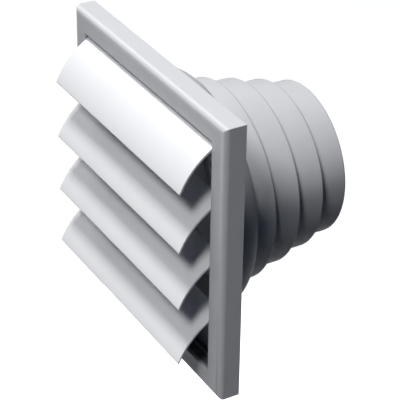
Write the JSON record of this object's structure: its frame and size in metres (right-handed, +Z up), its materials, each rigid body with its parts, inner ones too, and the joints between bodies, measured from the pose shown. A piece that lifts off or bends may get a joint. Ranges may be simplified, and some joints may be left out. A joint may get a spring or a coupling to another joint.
{
  "type": "exterior ventilation grille",
  "caption": "Square wall grille with hinged curved flaps that hang in a rounded frame, on a domed collar with a stepped round duct spigot behind.",
  "frame": {"origin": "centre of the wall face, on the duct axis", "axes": "+Z up, the grille looks towards -Y and the duct runs towards +Y, X to the right seen from the front"},
  "size_m": [0.186, 0.1355, 0.186],
  "materials": {
    "frame_plastic": "satin",
    "flap_plastic": "satin",
    "spigot_plastic": "satin",
    "screw_steel": "zinc plated"
  },
  "bodies": {
    "housing": {"front_frame": "frame_plastic", "spigot_plate": "spigot_plastic", "spigot_collar": "spigot_plastic", "duct_step_130": "spigot_plastic", "duct_step_120": "spigot_plastic", "duct_step_110": "spigot_plastic", "duct_step_100": "spigot_plastic", "plate_screws": "screw_steel"},
    "flap_1": {"flap_1": "flap_plastic"},
    "flap_2": {"flap_2": "flap_plastic"},
    "flap_3": {"flap_3": "flap_plastic"},
    "flap_4": {"flap_4": "flap_plastic"}
  },
  "joints": [
    {"name": "flap_1_hinge", "type": "hinge", "parent": "housing", "child": "flap_1", "pos_m": [0, -0.00916, 0.07513], "axis": [1, 0, 0], "range_deg": [-30, 41]},
    {"name": "flap_2_hinge", "type": "hinge", "parent": "housing", "child": "flap_2", "pos_m": [0, -0.00916, 0.03618], "axis": [1, 0, 0], "range_deg": [-30, 41]},
    {"name": "flap_3_hinge", "type": "hinge", "parent": "housing", "child": "flap_3", "pos_m": [0, -0.00916, -0.00277], "axis": [1, 0, 0], "range_deg": [-30, 41]},
    {"name": "flap_4_hinge", "type": "hinge", "parent": "housing", "child": "flap_4", "pos_m": [0, -0.00916, -0.04172], "axis": [1, 0, 0], "range_deg": [-30, 41]}
  ]
}
